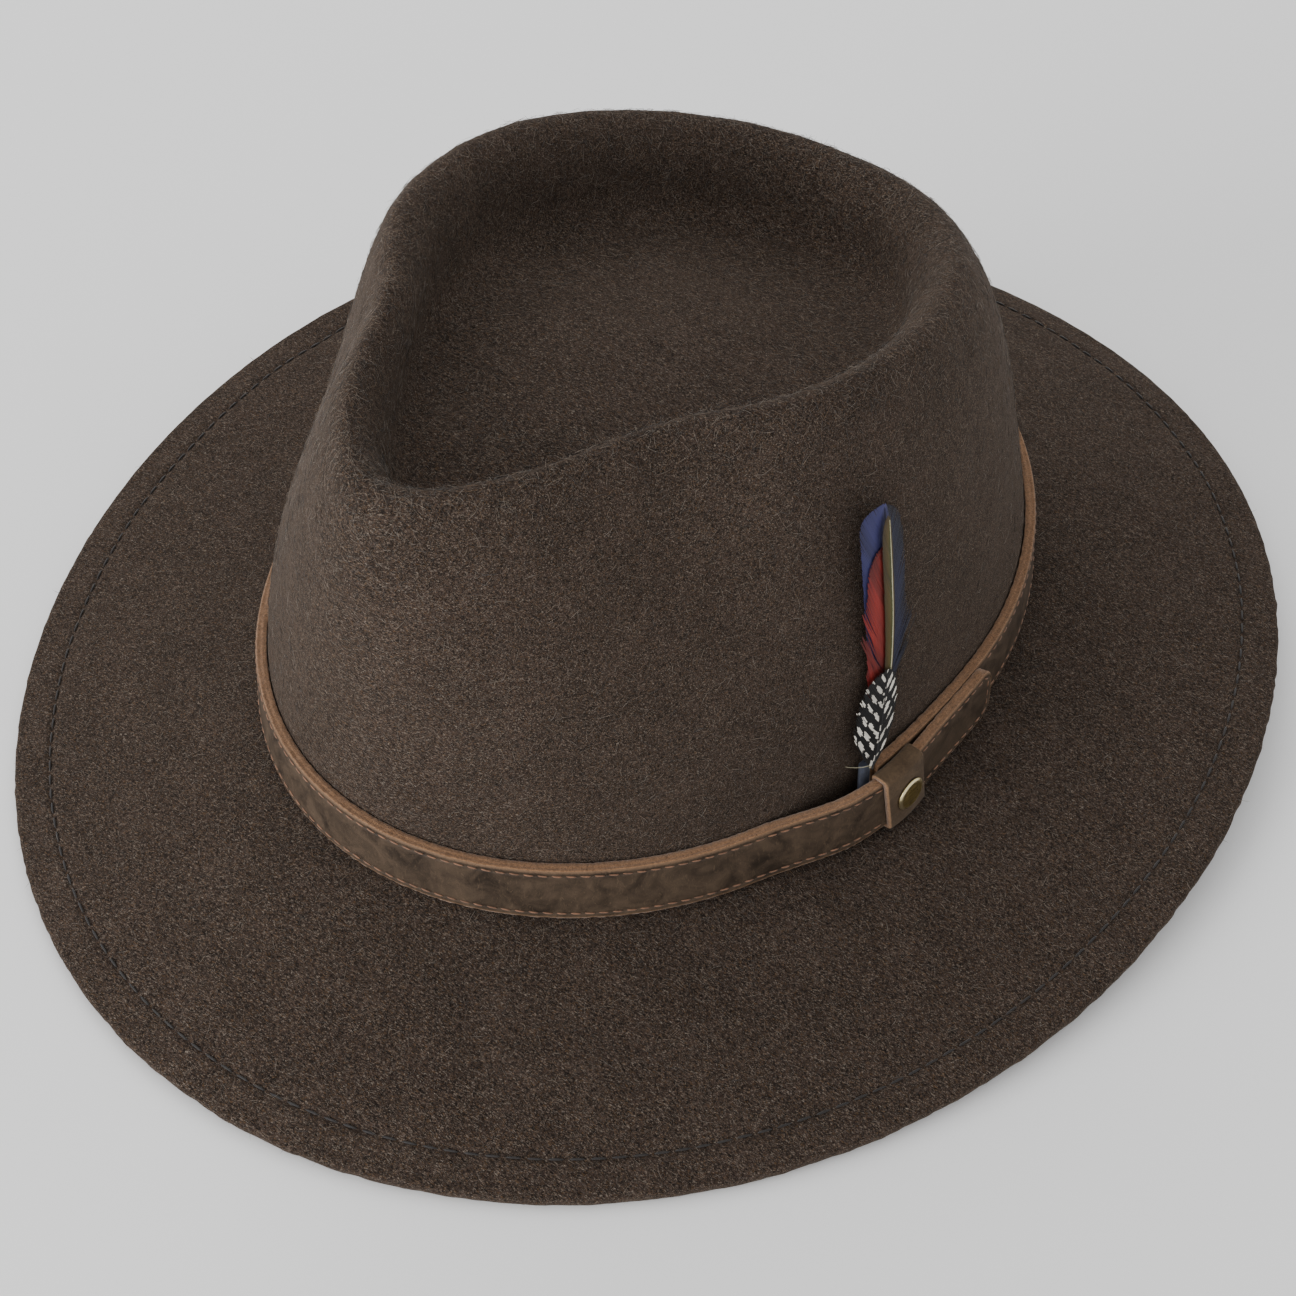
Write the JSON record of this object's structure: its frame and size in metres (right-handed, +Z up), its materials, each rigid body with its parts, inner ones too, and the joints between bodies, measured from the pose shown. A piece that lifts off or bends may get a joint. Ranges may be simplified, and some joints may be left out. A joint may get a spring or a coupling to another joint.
{
  "type": "fedora hat",
  "caption": "Felt fedora with a teardrop crown, wide stitched brim, leather band with keeper and rivet, feather trim and leather sweatband.",
  "frame": {"origin": "under the middle of the brim, on the surface that the hat rests on", "axes": "+Z up, front of the hat faces -Y, wearer's left is +X"},
  "size_m": [0.2958, 0.3414, 0.1305],
  "materials": {
    "felt": "matt melange wool felt",
    "felt_thread": "matt sewing thread",
    "band_leather": "oiled pull-up leather with raw tan edges",
    "band_thread": "waxed tan thread",
    "keeper_leather": "taupe nubuck with raw tan edges",
    "antique_brass": "antique brass, brushed",
    "blue_feather": "dyed feather",
    "navy_feather": "dyed feather",
    "red_feather": "dyed feather",
    "olive_feather": "dyed feather with pale quill",
    "guinea_feather": "black feather with white spots",
    "binding_thread": "slate blue wrapped thread",
    "quill": "pale horn",
    "sweat_leather": "smooth brown leather",
    "reed": "plastic reed",
    "tape": "woven cotton tape"
  },
  "bodies": {
    "hat": {"felt_body": "felt", "brim_stitching": "felt_thread", "hat_band": "band_leather", "band_stitching": "band_thread", "keeper_loop": "keeper_leather", "rivet_cap": "antique_brass", "rivet_post": "antique_brass", "rivet_back": "antique_brass", "sweatband": "sweat_leather", "sweatband_back_patch": "sweat_leather", "sweatband_reed": "reed", "sweatband_tape": "tape", "sweatband_stitching": "felt_thread"},
    "feather_trim": {"feather_blue_left": "blue_feather", "feather_blue_right": "navy_feather", "feather_red": "red_feather", "feather_green": "olive_feather", "feather_guinea": "guinea_feather", "feather_binding": "binding_thread", "feather_quills": "quill"}
  },
  "joints": [
    {"name": "feather_pull", "type": "slide", "parent": "hat", "child": "feather_trim", "axis": [-0.09, 0.115, 0.9893], "range_m": [0, 0.018]}
  ]
}
